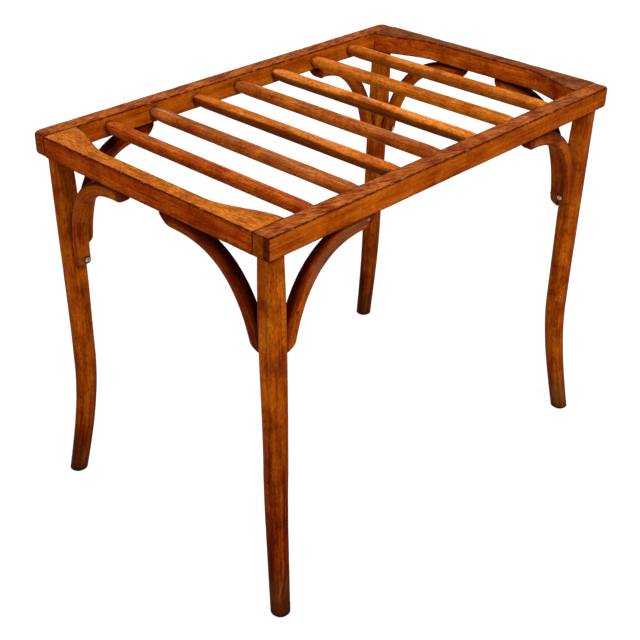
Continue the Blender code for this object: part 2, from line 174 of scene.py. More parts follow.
# What gathers at a place: its amount there, and the distance over which it fades
ARRIS_WEAR = (1.0, 0.0018)
END_GRAIN_DIRT = (0.35, 0.010)
SOCKET_DIRT = (0.75, 0.0022)
END_JOINT_DIRT = (0.22, 0.0012)
SLAT_END_DIRT = (0.75, 0.0025)
FOOT_DIRT = (0.85, 0.006)
SHIN_DIRT = (0.15, 0.05)
LEG_JOINT_DIRT = (0.55, 0.003)
BRACKET_SEAT_DIRT = (0.75, 0.0022)
BRACKET_END_DIRT = (0.3, 0.006)
SCREW_RING_DIRT = (0.90, 0.0012)
LEG_VARNISH = dict(zip(CORNERS, ((1.0, 0.26), (0.66, 0.06), (1.0, 0.125), (0.95, 0.12))))

# More dirt, and where it lies
FOOT_DIRT_HEIGHT = 0.003
RAIL_JOINT_DIRT = 0.40
RAIL_JOINT_BAND = 0.0012
SOCKET_FACE_DEPTH = 0.0008
SOCKET_WALL_GAP = 0.001
SCREW_SLOT_REACH = 0.52 * SCREW_SLOT_WIDTH
SCREW_SLOT_SKIN = 0.0002
SCREW_EDGE_DIRT = 0.7
SCREW_RIM_RANGE = (0.84, 0.99)

# Dark old varnish on the ends of the long rails, and a dark band beside their outer corners
END_VARNISH = 0.12
CORNER_DARK_BAND = 0.62
CORNER_DARK_BAND_RANGE = (0.0085, 0.0065)
FACES_SIDE = 0.93
FACES_UP_RANGE = (0.75, 0.95)

# The legs' dark varnish, paler to the front as painted light and paler where it is dusty, their dull feet,
# and their round part, whose points count as farther from an arris
LEG_VARNISH_RANGE = (0.30, 0.20)
LEG_FRONT_PAINTED_LIGHT = 0.25
LEG_FRONT_LIGHT_RATE = 1.2
LEG_DUST = 0.30
LEG_DUST_RANGE = (0.065, 0.025)
LEG_DULLNESS = 0.75
LEG_DULL_RANGE = (0.075, 0.035)
LEG_ROUND_OFF = 0.02
LEG_ROUND_RANGE = (LEG_TOP_ROUND, LEG_TOP_ROUND + 0.006)

# The brackets' varnish with painted shadow, shade and highlight. Ranges of "out" run from -1 on the concave
# side to 1 on the convex side
BRACKET_SHADES = {  # how much the convex painted shadow fades beside it, and the flanks' painted shade
    "end_front_left": (0.25, 0.50),
    "long_front_left": (0.74, 0.0),
    "long_back_left": (0.0, 0.80),
}
BRACKET_SHADE = (0.2, 0.25)
# How much dull haze with its painted highlight lies on a bracket's flank
BRACKET_DULL_AND_SHEEN = {"long_front_left": 0.90, "long_front_right": 0.15}
BRACKET_DULL_AND_SHEEN_DEFAULT = 0.1
CONVEX_SHADOW_AND_DIRT = 0.98
CONVEX_OUT_RANGE = (0.30, 0.85)
LOW_PALING = 0.25
LOW_RANGE = (0.5, 1.0)
CONVEX_FADE_RANGE = (0.001, 0.007)
FLANK_OUT_RANGE = (-0.95, 0.75)
NOSE_VARNISH = 0.50
NOSE_RANGE = (BRACKET_TIP_NOSE + 0.002, BRACKET_TIP_NOSE - 0.004)
DULL_SHEEN_LENGTH_RANGE = (0.50, 0.65)
DULL_SHEEN_ACROSS_RANGE = (0.004, 0.007)
DULL_SHEEN_FROM_OUT_RANGE = (-0.35, 0.05)
DULL_SHEEN_TO_OUT_RANGE = (0.55, 0.80)

# How far one step of the seed moves the wear, the grain and the turn of a screw
WEAR_SEED_STEP = (3.1, 1.7, 0.9)
GRAIN_SEED_STEP = (1.31, 0.77, 0.53)
SCREW_SEED_STEP = 5.3

# Patterns in the wood: scales along and across the grain, detail, roughness and distortion
FIBRE = ((14, 430, 430), 6.0, 0.62, 0.4)
FIGURE = ((6, 85, 85), 3.0, 0.55, 0.9)
GRIT = ((230, 520, 520), 2.5, 0.6, 0.0)
DASHES = ((120, 640, 640), 2.0, 0.5, 0.0)
RUBBING = ((10, 170, 170), 5.0, 0.7, 0.6)
GLINTS = ((22, 330, 330), 4.0, 0.65, 0.5)
GLINT_TURN = (0.3, 0.0, 0.0)
WORN_VARNISH = ((14, 200, 200), 5.0, 0.7, 0.6)

# Patterns that are the same all ways: scale, detail, roughness and distortion
BRUSHING = (1.0, 4.0, 0.62, 0.9)
MOTTLE = (30.0, 4.0, 0.6, 0.5)
BROKEN_EDGE = (170.0, 4.0, 0.65, 0.0)
CHIPS_AND_HIGHLIGHT_SPOTS = (130.0, 3.0, 0.6, 0.0)
SOIL_SPOTS = (75.0, 5.0, 0.7, 0.8)
STEEL_SPOTS = (900.0, 4.0, 0.65, 0.0)

# Colours of layers in the finishes
DARK_SHARES = (0.32, 0.20, 0.3)
DEEP_SHARES = (0.15, 0.09, 0.3)
PATINA = (0.170, 0.070, 0.034, 1.0)
PAINTED_GLINT = (0.66, 0.38, 0.19, 1.0)
PAINTED_UNDERSIDE_TINT = (1.0, 0.80, 0.25, 1.0)
PAINTED_UNDERSIDE_SHADE = (0.058, 0.0062, 0.0006, 1.0)
CHIPS_AND_ARRIS_HIGHLIGHT = (0.54, 0.23, 0.085, 1.0)
HAZE_AND_SHEEN = (0.155, 0.064, 0.040, 1.0)
FOOT_HAZE = (0.165, 0.072, 0.018, 1.0)
VARNISH_AND_SHADE_TINT = (0.42, 0.24, 0.32, 1.0)
SOIL = (0.016, 0.006, 0.003, 1.0)
SCRATCHED = (0.300, 0.105, 0.030, 1.0)
KNOT = (0.020, 0.005, 0.003, 1.0)
BARE = (0.430, 0.130, 0.045, 1.0)
STEEL_TONES = ((0.34, (0.05, 0.04, 0.035)), (0.50, (0.34, 0.32, 0.29)), (0.70, (0.72, 0.70, 0.67)))
STEEL_DIRT = (0.010, 0.007, 0.005, 1.0)
WOOD_SPECULAR = 0.012
WOOD_SPECULAR_TINT = (1.0, 0.58, 0.26, 1.0)

# The room
WHITE = (1.0, 1.0, 1.0, 1.0)
FLOOR_HALF_SIZE = 6.0
FLOOR_HEIGHT = -0.0002
FLOOR_COLOUR = (0.36, 0.36, 0.36, 1.0)
FLOOR_GLOW = 0.80
ROOM_COLOUR = (1.0, 0.99, 0.97, 1.0)
ROOM_STRENGTH = 0.42
LAMPS = (  # name, place, size, power, and whether it shows in reflections
    ("key", (-0.8, -2.5, 3.0), 1.5, 108.0, True),
    ("fill", (-3.0, 0.2, 2.0), 1.6, 22.0, True),
    ("back", (1.9, 2.1, 1.5), 1.8, 22.0, False),
)
LAMP_AIM = (0.0, 0.0, 0.35)

# The camera
CAMERA_PLACE = (-1.0255, -0.9207, 1.0200)
CAMERA_YAW = math.radians(47.36)
CAMERA_PITCH = math.radians(30.82)
CAMERA_ROLL = math.radians(1.103)
CAMERA_LENS = 64.53
CAMERA_SENSOR = 36.0
CAMERA_CLIP_START = 0.05


def link_object(name, data):
    obj = bpy.data.objects.new(name, data)
    bpy.context.scene.collection.objects.link(obj)
    return obj


def smooth(mesh, sharp_angle=SHARP_ANGLE):
    mesh.shade_smooth()
    mesh.set_sharp_from_angle(angle=sharp_angle)


def make_mesh(name, points, faces):
    mesh = bpy.data.meshes.new(name)
    mesh.from_pydata([tuple(point) for point in points], [], faces)
    shape = bmesh.new()
    shape.from_mesh(mesh)
    bmesh.ops.recalc_face_normals(shape, faces=shape.faces)
    shape.to_mesh(mesh)
    shape.free()
    smooth(mesh)
    return link_object(name, mesh)


def skin(name, rings, cap_shares=CAP_SHARES):
    """A closed loft. A ring is a list of (point, record), and the records come back in the mesh's order."""
    count = len(rings[0])
    last = (len(rings) - 1) * count
    points = [point for ring in rings for point, _ in ring]
    records = [record for ring in rings for _, record in ring]
    faces = []
    for start in range(0, last, count):
        for i in range(count):
            j = (i + 1) % count
            faces.append((start + i, start + j, start + count + j, start + count + i))
    for ring, base in ((rings[0], 0), (rings[-1], last)):
        centre = sum((point for point, _ in ring), Vector()) / count
        middle = sum((Vector(record) for _, record in ring), Vector(NO_RECORD)) / count
        for share in cap_shares:
            start = len(points)
            points += [centre + (point - centre) * share for point, _ in ring]
            records += [tuple(middle + (Vector(record) - middle) * share) for _, record in ring]
            for i in range(count):
                j = (i + 1) % count
                faces.append((base + i, base + j, start + j, start + i))
            base = start
        points.append(centre)
        records.append(tuple(middle))
        faces += [(base + i, base + (i + 1) % count, len(points) - 1) for i in range(count)]
    return make_mesh(name, points, faces), records


def section(low_a, high_a, low_b, high_b, radii, arc_steps=ARC_STEPS):
    """Points (a, b, distance to the nearest arris) around a rectangle with its four corners rounded."""
    corners = ((high_a, high_b, 1, 1), (low_a, high_b, -1, 1), (low_a, low_b, -1, -1), (high_a, low_b, 1, -1))
    arcs = []
    for quarter, ((a, b, sign_a, sign_b), radius) in enumerate(zip(corners, radii)):
        arc = []
        for i in range(arc_steps + 1):
            angle = math.pi / 2 * (quarter + i / arc_steps)
            off = abs(i / arc_steps - 0.5) * math.pi / 2 * radius
            place_a = a - sign_a * radius + radius * math.cos(angle)
            place_b = b - sign_b * radius + radius * math.sin(angle)
            arc.append((place_a, place_b, off))
        arcs.append(arc)
    points = []
    for arc, following in zip(arcs, arcs[1:] + arcs[:1]):
        points += arc
        (a0, b0, d0), (a1, b1, d1) = arc[-1], following[0]
        length = math.hypot(a1 - a0, b1 - b0)
        for share in FLAT_SHARES:
            off = min(d0 + share * length, d1 + (1 - share) * length)
            points.append((a0 + (a1 - a0) * share, b0 + (b1 - b0) * share, off))
    return points


def circle(radius, sides):
    angles = [2 * math.pi * i / sides for i in range(sides)]
    return [(radius * math.cos(angle), radius * math.sin(angle)) for angle in angles]


def spread(length, step, ends):
    """Distances from 0 to length: the given ones at both ends, and even steps between."""
    first, last = ends[-1], length - ends[-1]
    count = max(1, round((last - first) / step))
    middle = [first + (last - first) * i / count for i in range(1, count)]
    return list(ends) + middle + [length - d for d in reversed(ends)]


def carve(obj, shape):
    """Subtract the shape and keep the result as the mesh."""
    mesh = bpy.data.meshes.new("cutter")
    shape.to_mesh(mesh)
    shape.free()
    cutter = link_object("cutter", mesh)
    modifier = obj.modifiers.new("carve", "BOOLEAN")
    modifier.operation = "DIFFERENCE"
    modifier.solver = "EXACT"
    modifier.object = cutter
    bpy.context.view_layer.update()
    carved = bpy.data.meshes.new_from_object(obj.evaluated_get(bpy.context.evaluated_depsgraph_get()))
    obj.modifiers.remove(modifier)
    obj.data = carved
    bpy.data.objects.remove(cutter, do_unlink=True)


def quarter_inset(distance, radius):
    """How far a quarter round has fallen back at a distance from its end."""
    if distance >= radius:
        return 0.0
    return radius - math.sqrt(max(0.0, radius * radius - (radius - distance) ** 2))


def corner_point(corner, inset_x, inset_y, height):
    sign_x, sign_y = CORNERS[corner]
    return Vector((sign_x * (TOP_LENGTH / 2 - inset_x), sign_y * (TOP_DEPTH / 2 - inset_y), height))


def smooth_step(share):
    share = min(max(share, 0.0), 1.0)
    return share * share * (3 - 2 * share)


def eased(value, start, end):
    """0 at the start, 1 at the end and smooth between. The end may be the lower of the two."""
    return smooth_step((value - start) / (end - start))


def gathered(amount, fade, distance):
    """How much is left of an amount at a distance from where it gathers."""
    return amount * math.exp(-max(distance, 0.0) / fade)


def hermite(start, start_slope, end, end_slope, span, share):
    t2 = share * share
    t3 = t2 * share
    value = start * (2 * t3 - 3 * t2 + 1) + end * (3 * t2 - 2 * t3)
    return value + span * (start_slope * (t3 - 2 * t2 + share) + end_slope * (t3 - t2))


def weather(obj, records, seed, amount, dents):
    """Wear the surface back a little by hand, never outwards, and more at its arrises."""
    mesh = obj.data
    shift = Vector([seed * step for step in WEAR_SEED_STEP])
    moves = []
    for vertex, (_, _, _, off) in zip(mesh.vertices, records):
        slow = 0.5 + 0.5 * noise.noise(vertex.co * SLOW_WAVES + shift)
        fine = 0.5 + 0.5 * noise.noise(vertex.co * FINE_WAVES + shift)
        dent = max(0.0, noise.noise(vertex.co * DENT_WAVES - shift) - DENT_FLOOR) * gathered(*ARRIS_WEAR, off)
        moves.append(-vertex.normal * (amount * (SLOW_SHARE * slow + FINE_SHARE * fine) + dents * dent))
    for vertex, move in zip(mesh.vertices, moves):
        vertex.co += move
    mesh.update()


def nowhere(point, normal, record):
    return 0.0


def paint(obj, records, seed, stains, aged_and_shade, dull):
    """What the finish reads: the place in the grain, how near an arris is, how far up the surface faces,
    dirt, old varnish with painted light and shade, and haze with a painted highlight."""
    mesh = obj.data
    shift = [seed * step for step in GRAIN_SEED_STEP]
    grain = mesh.attributes.new("grain", "FLOAT_VECTOR", "POINT")
    grain.data.foreach_set("vector", [record[k] + shift[k] for record in records for k in range(3)])
    values = {
        "wear": [gathered(*ARRIS_WEAR, record[3]) for record in records],
        "up": [vertex.normal.z for vertex in mesh.vertices],
        "stain": [stains(vertex.co) for vertex in mesh.vertices],
        "aged_and_shade": [aged_and_shade(vertex.co, vertex.normal, record) for vertex, record in zip(mesh.vertices, records)],
        "dull": [dull(vertex.co, vertex.normal, record) for vertex, record in zip(mesh.vertices, records)],
    }
    for name, numbers in values.items():
        mesh.attributes.new(name, "FLOAT", "POINT").data.foreach_set("value", numbers)


def settle(obj, node, material):
    """The piece takes its finish, its body and the place of its solid."""
    obj.data.materials.append(material)
    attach(obj, "root")
    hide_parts(node)


def finish_wood(obj, node, material, records, seed, wear, stains, aged_and_shade=nowhere, dull=nowhere):
    weather(obj, records, seed, *wear)
    paint(obj, records, seed, stains, aged_and_shade, dull)
    settle(obj, node, material)


class Graph:
    """Short calls for building the nodes of a material or the world."""

    def __init__(self, owner):
        owner.use_nodes = True
        self.owner = owner
        self.tree = owner.node_tree

    def give(self, socket, value):
        if isinstance(value, bpy.types.NodeSocket):
            self.tree.links.new(value, socket)
        else:
            socket.default_value = value

    def feed(self, node, inputs):
        for key, value in inputs.items():
            self.give(node.inputs[key], value)

    def node(self, kind, inputs, **settings):
        made = self.tree.nodes.new("ShaderNode" + kind)
        for key, value in settings.items():
            setattr(made, key, value)
        self.feed(made, inputs)
        return made

    def value(self, name):
        return self.node("Attribute", {}, attribute_name=name).outputs["Fac"]

    def vector(self, name):
        return self.node("Attribute", {}, attribute_name=name).outputs["Vector"]

    def place(self):
        return self.node("TexCoord", {}).outputs["Object"]

    def stretch(self, vector, scale, turn=(0.0, 0.0, 0.0)):
        inputs = {"Vector": vector, "Scale": scale, "Rotation": turn}
        return self.node("Mapping", inputs).outputs["Vector"]

    def noise(self, vector, scale, detail, rough, bend):
        inputs = {"Vector": vector, "Scale": scale, "Detail": detail, "Roughness": rough, "Distortion": bend}
        return self.node("TexNoise", inputs).outputs["Fac"]

    def vector_math(self, operation, a, b, output):
        return self.node("VectorMath", {0: a, 1: b}, operation=operation).outputs[output]

    def distance(self, place):
        return self.vector_math("DISTANCE", self.place(), place, "Value")

    def beside(self, start, end):
        """How far a place is from a line and along it, and the line's length."""
        line = Vector(end) - Vector(start)
        away = self.vector_math("SUBTRACT", self.place(), start, "Vector")
        crossed = self.vector_math("CROSS_PRODUCT", away, line.normalized(), "Vector")
        off = self.vector_math("LENGTH", crossed, (0.0, 0.0, 0.0), "Value")
        return off, self.vector_math("DOT_PRODUCT", away, line.normalized(), "Value"), line.length

    def math(self, operation, a, b):
        return self.node("Math", {0: a, 1: b}, operation=operation).outputs[0]

    def add(self, a, b):
        return self.math("ADD", a, b)

    def multiply(self, a, b):
        return self.math("MULTIPLY", a, b)

    def weigh(self, a, share_a, b, share_b):
        return self.add(self.multiply(a, share_a), self.multiply(b, share_b))

    def span(self, value, low, high, to_low=0.0, to_high=1.0):
        inputs = {"Value": value, "From Min": low, "From Max": high, "To Min": to_low, "To Max": to_high}
        return self.node("MapRange", inputs).outputs["Result"]

    def mix(self, share, a, b, blend="MIX"):
        inputs = {0: share, 6: a, 7: b}
        return self.node("Mix", inputs, data_type="RGBA", blend_type=blend).outputs[2]

    def scale(self, colour, factor):
        return self.node("VectorMath", {0: colour, "Scale": factor}, operation="SCALE").outputs[0]

    def ramp(self, share, stops):
        made = self.node("ValToRGB", {"Fac": share})
        elements = made.color_ramp.elements
        while len(elements) < len(stops):
            elements.new(0.5)
        for element, (position, colour) in zip(elements, stops):
            element.position = position
            element.color = (*colour, 1.0)
        return made.outputs["Color"]

    def bump(self, height, strength, distance):
        inputs = {"Height": height, "Strength": strength, "Distance": distance}
        return self.node("Bump", inputs).outputs["Normal"]

    def principled(self, inputs):
        self.feed(self.tree.nodes["Principled BSDF"], inputs)
        return self.owner

    def light(self, kind, inputs):
        return self.node(kind, inputs).outputs[0]

    def show(self, output, lighting, seen):
        """One look lights the object, and the other is what the camera, a reflection or glass shows."""
        rays = self.node("LightPath", {}).outputs
        share = self.math("MAXIMUM", rays["Is Camera Ray"], rays["Is Glossy Ray"])
        share = self.math("MAXIMUM", share, rays["Is Transmission Ray"])
        self.node(output, {"Surface": self.light("MixShader", {0: share, 1: lighting, 2: seen})})


class Wood(Graph):
    """Varnished, worn wood, in layers of colour. A set of colours runs from the dark grain to the light."""

    def __init__(self, name, colours):
        super().__init__(bpy.data.materials.new(name))
        self.grain = self.vector("grain")
        self.up = self.value("up")
        self.wear = self.value("wear")
        self.dark = (*(part * share for part, share in zip(colours[0], DARK_SHARES)), 1.0)
        self.deep = (*(part * share for part, share in zip(colours[0], DEEP_SHARES)), 1.0)
        self.fibre = self.pattern(*FIBRE)
        self.figure = self.pattern(*FIGURE)
        self.grit = self.pattern(*GRIT)
        self.mottle = self.noise(self.grain, *MOTTLE)
        self.soil = self.noise(self.grain, *SOIL_SPOTS)
        self.streaks = self.weigh(self.fibre, 0.32, self.figure, 0.30)
        self.colour = self.tones(self.add(self.streaks, self.multiply(self.mottle, 0.38)), colours)

    def pattern(self, scales, detail, rough, bend, turn=(0.0, 0.0, 0.0)):
        """A noise that is drawn out along the grain."""
        return self.noise(self.stretch(self.grain, scales, turn), 1.0, detail, rough, bend)

    def tones(self, value, colours):
        return self.ramp(self.span(value, 0.40, 0.60), list(zip((0.0, 0.5, 1.0), colours)))

    def lay(self, share, colour, blend="MIX"):
        self.colour = self.mix(share, self.colour, colour, blend)

    def lay_top(self, colours, strokes, turn):
        """Other colours on what faces up, as if brushed on."""
        turned = self.stretch(self.grain, (1, 1, 1), (0.0, 0.0, turn))
        stroke = self.noise(self.stretch(turned, strokes), *BRUSHING)
        tone = self.weigh(stroke, 0.58, self.mottle, 0.42)
        self.lay(self.span(self.up, 0.55, 0.95), self.tones(tone, colours))

    def lay_speckle(self, amount):
        factor = self.span(self.grit, 0.34, 0.66, 1.0 - amount, 1.0 + amount)
        self.colour = self.scale(self.colour, factor)

    def lay_flecks(self, amount):
        """Short dark dashes along the grain, which come back for the relief."""
        dash = self.multiply(self.span(self.pattern(*DASHES), 0.58, 0.66), amount)
        self.lay(self.multiply(dash, self.span(self.up, 0.0, 0.9, 0.75, 1.0)), self.dark)
        return dash

    def lay_patina(self, amount):
        rubbed = self.span(self.pattern(*RUBBING), 0.51, 0.64)
        self.lay(self.multiply(rubbed, self.span(self.up, 0.1, 0.8, 0.0, amount)), PATINA)

    def lay_glints(self, amount):
        # Painted highlight: pale glints along the grain on what faces up
        pale = self.span(self.pattern(*GLINTS, GLINT_TURN), 0.55, 0.66)
        self.lay(self.multiply(pale, self.span(self.up, 0.80, 0.99, 0.0, amount)), PAINTED_GLINT)

    def lay_underside_shade(self, amount):
        """Painted shade: darker and browner on the sides and below, up to a ragged line."""
        self.lay(self.span(self.up, 0.1, 0.75, 0.6, 0.0), PAINTED_UNDERSIDE_TINT, "MULTIPLY")
        ragged = self.add(self.up, self.span(self.figure, 0.35, 0.65, -0.14, 0.14))
        self.lay(self.span(ragged, 0.34, 0.74, amount, 0.0), PAINTED_UNDERSIDE_SHADE)

    def lay_edges(self, amount, start):
        """A dark, broken line along the arrises."""
        broken = self.noise(self.grain, *BROKEN_EDGE)
        ragged = self.add(self.wear, self.span(broken, 0.3, 0.7, -0.17, 0.17))
        line = self.multiply(self.span(ragged, start, start + 0.26), self.span(self.up, -0.6, 0.1, 0.5, 1.0))
        self.lay(self.multiply(line, amount), self.dark)

    def lay_chips_and_highlight(self, amount):
        """Pale bare wood where the upper arrises are chipped, and a painted highlight along them."""
        spots = self.span(self.noise(self.grain, *CHIPS_AND_HIGHLIGHT_SPOTS), 0.56, 0.66)
        chip_and_highlight = self.multiply(self.span(self.wear, 0.35, 0.60), spots)
        chip_and_highlight = self.multiply(chip_and_highlight, self.span(self.up, 0.15, 0.45))
        self.lay(self.multiply(chip_and_highlight, amount), CHIPS_AND_ARRIS_HIGHLIGHT)

    def lay_haze_and_sheen(self, colour):
        # Haze of dull varnish; on the brackets it is also a painted highlight
        worn = self.pattern(*WORN_VARNISH)
        self.lay(self.multiply(self.value("dull"), self.span(worn, 0.36, 0.58, 0.25, 1.0)), colour)

    def lay_varnish_and_shade(self, streaking):
        """Old varnish with painted light and shade, streaked: a red-brown tint where it is thin, and nearly
        black where it is thick.
        """
        aged_and_shade = self.value("aged_and_shade")
        between = self.multiply(aged_and_shade, self.math("SUBTRACT", 1.0, aged_and_shade))
        streaks = self.span(self.streaks, 0.26, 0.36, streaking, -streaking)
        streaked = self.add(aged_and_shade, self.multiply(between, streaks))
        self.lay(self.span(streaked, 0.0, 0.5), VARNISH_AND_SHADE_TINT, "MULTIPLY")
        self.lay(self.span(streaked, 0.5, 1.0), self.deep)

    def lay_soil(self):
        self.lay(self.multiply(self.value("stain"), self.span(self.soil, 0.28, 0.58, 0.5, 1.0)), SOIL)

    def lay_mark(self, place, size, colour):
        self.lay(self.span(self.distance(place), size * 0.4, size, 1.0, 0.0), colour)

    def lay_scratch(self, start, end, width):
        """A pale line that begins and ends softly."""
        off, along, length = self.beside(start, end)
        share = self.span(along, 0.0, 0.2 * length)
        share = self.multiply(share, self.span(along, 0.7 * length, length, 1.0, 0.0))
        self.lay(self.multiply(share, self.span(off, 0.0, width, 0.55, 0.0)), SCRATCHED)


def wood(name, colours, top_colours=None, strokes=None, top_turn=0.0, edge=0.0, edge_from=0.35,
         chips_and_highlight=0.0, flecks=0.5, speckle=0.2, gloss=0.50, patina=0.0, glints=0.0, under=0.0, streaking=0.5,
         marks=(), scratches=(), haze=HAZE_AND_SHEEN):
    """One finish. Most of the numbers say how much there is of a layer."""
    g = Wood(name, colours)
    if top_colours:
        g.lay_top(top_colours, strokes, top_turn)
    g.lay_speckle(speckle)
    dash = g.lay_flecks(flecks)
    for lay, amount in ((g.lay_patina, patina), (g.lay_glints, glints), (g.lay_underside_shade, under)):
        if amount:
            lay(amount)
    if edge:
        g.lay_edges(edge, edge_from)
    if chips_and_highlight:
        g.lay_chips_and_highlight(chips_and_highlight)
    g.lay_haze_and_sheen(haze)
    g.lay_varnish_and_shade(streaking)
    g.lay_soil()
    for mark in marks:
        g.lay_mark(*mark)
    for scratch in scratches:
        g.lay_scratch(*scratch)

    rough = g.add(g.span(g.mottle, 0.35, 0.65, gloss - 0.05, gloss + 0.12), g.multiply(g.grit, 0.12))
    height = g.math("SUBTRACT", g.weigh(g.fibre, 0.5, g.soil, 0.35), g.multiply(dash, 0.35))
    return g.principled({
        "Base Color": g.colour,
        "Roughness": rough,
        "Specular IOR Level": WOOD_SPECULAR,
        "Specular Tint": WOOD_SPECULAR_TINT,
        "Normal": g.bump(height, 0.45, 0.0007),
    })


def steel(name):
    """Aged bright steel with dull spots, and dirt in its slot and at its rim."""
    g = Graph(bpy.data.materials.new(name))
    dirt = g.value("dirt")
    spots = g.noise(g.place(), *STEEL_SPOTS)
    colour = g.ramp(spots, STEEL_TONES)
    return g.principled({
        "Base Color": g.mix(dirt, colour, STEEL_DIRT),
        "Metallic": g.span(dirt, 0.2, 0.8, 1.0, 0.0),
        "Roughness": g.math("MAXIMUM", g.span(spots, 0.3, 0.7, 0.45, 0.22), dirt),
        "Normal": g.bump(spots, 0.3, 0.0002),
    })


LONG_RAIL_FINISH = wood(
    "long_rail_wood", ((0.225, 0.030, 0.001), (0.380, 0.068, 0.002), (0.505, 0.116, 0.005)),
    ((0.135, 0.020, 0.002), (0.325, 0.068, 0.010), (0.520, 0.150, 0.031)),
    strokes=(60, 290, 290), top_turn=math.radians(20), edge=0.97, edge_from=0.28, chips_and_highlight=0.35, flecks=0.3)
LEFT_RAIL_FINISH = wood(
    "left_rail_wood", ((0.150, 0.010, 0.001), (0.300, 0.033, 0.001), (0.470, 0.082, 0.004)),
    ((0.280, 0.056, 0.004), (0.500, 0.126, 0.010), (0.690, 0.218, 0.031)),
    strokes=(110, 480, 480), edge=0.9, chips_and_highlight=0.35, speckle=0.22)
RIGHT_RAIL_FINISH = wood(
    "right_rail_wood", ((0.190, 0.018, 0.001), (0.360, 0.054, 0.002), (0.540, 0.115, 0.005)),
    ((0.092, 0.017, 0.003), (0.198, 0.047, 0.008), (0.345, 0.104, 0.026)),
    strokes=(90, 380, 380), edge=0.9, chips_and_highlight=0.2, speckle=0.25)

# Each slat's colours, and how much patina, painted glints and painted underside shade it has
SLAT_LOOKS = (
    (((0.220, 0.026, 0.002), (0.440, 0.078, 0.007), (0.600, 0.140, 0.018)), 0.55, 0.3, 0.30),
    (((0.220, 0.036, 0.004), (0.400, 0.090, 0.012), (0.580, 0.175, 0.038)), 0.75, 0.8, 0.05),
    (((0.340, 0.058, 0.004), (0.580, 0.130, 0.010), (0.760, 0.232, 0.032)), 0.30, 0.6, 0.82),
    (((0.230, 0.038, 0.004), (0.420, 0.096, 0.012), (0.600, 0.170, 0.028)), 0.55, 0.7, 0.10),
    (((0.430, 0.088, 0.007), (0.750, 0.196, 0.017), (0.880, 0.320, 0.050)), 0.10, 0.8, 0.85),
    (((0.330, 0.064, 0.005), (0.580, 0.150, 0.012), (0.720, 0.215, 0.025)), 0.25, 0.5, 0.15),
    (((0.410, 0.080, 0.006), (0.700, 0.180, 0.014), (0.860, 0.270, 0.032)), 0.20, 0.6, 0.60),
)
# Marks have a place, a size and a colour, and scratches a start, an end and a width
SLAT_MARKS = {4: (((-0.0150, 0.1038, 0.5001), 0.0016, KNOT),)}
BRACKET_MARKS = (
    ((-0.2683, -0.1911, 0.4017), 0.0026, KNOT),
    ((-0.2687, -0.1911, 0.3982), 0.0018, KNOT),
    ((-0.1636, -0.1963, 0.4767), 0.0026, BARE),
)
LEG_SCRATCHES = (
    ((-0.3048, -0.2049, 0.0526), (-0.3136, -0.2052, 0.0205), 0.0015),
    ((-0.3004, -0.2013, 0.0823), (-0.3044, -0.2048, 0.0539), 0.0014),
    ((-0.2972, -0.2053, 0.0558), (-0.3066, -0.2095, 0.0246), 0.0010),
)
SLAT_FINISHES = [
    wood("slat_%d_wood" % number, colours, flecks=0.60, speckle=0.28, gloss=0.46, patina=patina,
         glints=glints, under=under, marks=SLAT_MARKS.get(number, ()))
    for number, (colours, patina, glints, under) in enumerate(SLAT_LOOKS, start=1)]
LEG_FINISH = wood(
    "leg_wood", ((0.165, 0.020, 0.001), (0.345, 0.061, 0.002), (0.510, 0.122, 0.006)),
    edge=0.45, flecks=0.70, speckle=0.26, streaking=0.45, scratches=LEG_SCRATCHES, haze=FOOT_HAZE)
BRACKET_FINISH = wood(
    "bracket_wood", ((0.165, 0.018, 0.001), (0.350, 0.058, 0.002), (0.520, 0.116, 0.006)),
    edge=0.3, flecks=0.7, speckle=0.25, gloss=0.48, patina=0.4, streaking=0.3, marks=BRACKET_MARKS)
STEEL_FINISH = steel("screw_steel")


def slat_places():
    first = SLAT_LEFT_INSET - TOP_LENGTH / 2
    last = TOP_LENGTH / 2 - SLAT_RIGHT_INSET
    return [first + (last - first) * share for share in SLAT_PLACES]


def long_rail_record(side, point):
    """Grain place and distance to the nearest arris, for a point on a long rail."""
    across = TOP_DEPTH / 2 - LONG_RAIL_WIDTH / 2 - side * point.y
    up = point.z - RAIL_MIDDLE
    to_side = LONG_RAIL_WIDTH / 2 - abs(across)
    to_face = RAIL_HEIGHT / 2 - abs(up)
    to_end = TOP_LENGTH / 2 - abs(point.x)
    return point.x, across, up, max(0.0, sorted((to_side, to_face, to_end))[1])


def cut_sockets(rail, side):
    """Real holes for the ends of the slats."""
    depth = SLAT_SOCKET_DEPTH + SOCKET_OVERCUT
    radius = SLAT_END_RADIUS + FIT
    shape = bmesh.new()
    for x in slat_places():
        start = Vector((x, side * (INNER_FACE - SOCKET_OVERCUT), RAIL_MIDDLE))
        middle = Matrix.Translation(start + Vector((0, side * depth / 2, 0)))
        bmesh.ops.create_cone(
            shape, cap_ends=True, segments=SLAT_SIDES, radius1=radius, radius2=radius, depth=depth,
            matrix=middle @ Matrix.Rotation(math.pi / 2, 4, "X"))
    carve(rail, shape)


def long_rail_ring(side, distance):
    x = distance - TOP_LENGTH / 2
    from_end = min(distance, TOP_LENGTH - distance)
    outer_arris = ARRIS
    if x < 0 and side < 0:
        plan = quarter_inset(from_end, SHARP_CORNER_RADIUS)
        end = quarter_inset(from_end, SHARP_END_ARRIS)
    else:
        plan = quarter_inset(from_end, CORNER_RADIUS)
        end = quarter_inset(from_end, END_ARRIS)
        outer_arris += (FREE_CORNER_ARRIS - ARRIS) * eased(from_end, *FREE_CORNER_RANGE)
    inner_arris = ARRIS + (JOINT_ARRIS - ARRIS) * eased(from_end, *JOINT_ARRIS_RANGE)
    outer = TOP_DEPTH / 2 - plan - end * END_ARRIS_OUTSIDE
    inner = INNER_FACE + end * END_ARRIS_INSIDE
    points = section(inner, outer, RAIL_UNDERSIDE + end, TOP_HEIGHT - end,
                     (outer_arris, inner_arris, inner_arris, outer_arris))
    return [(Vector((x, side * a, b)), NO_RECORD) for a, b, _ in points]


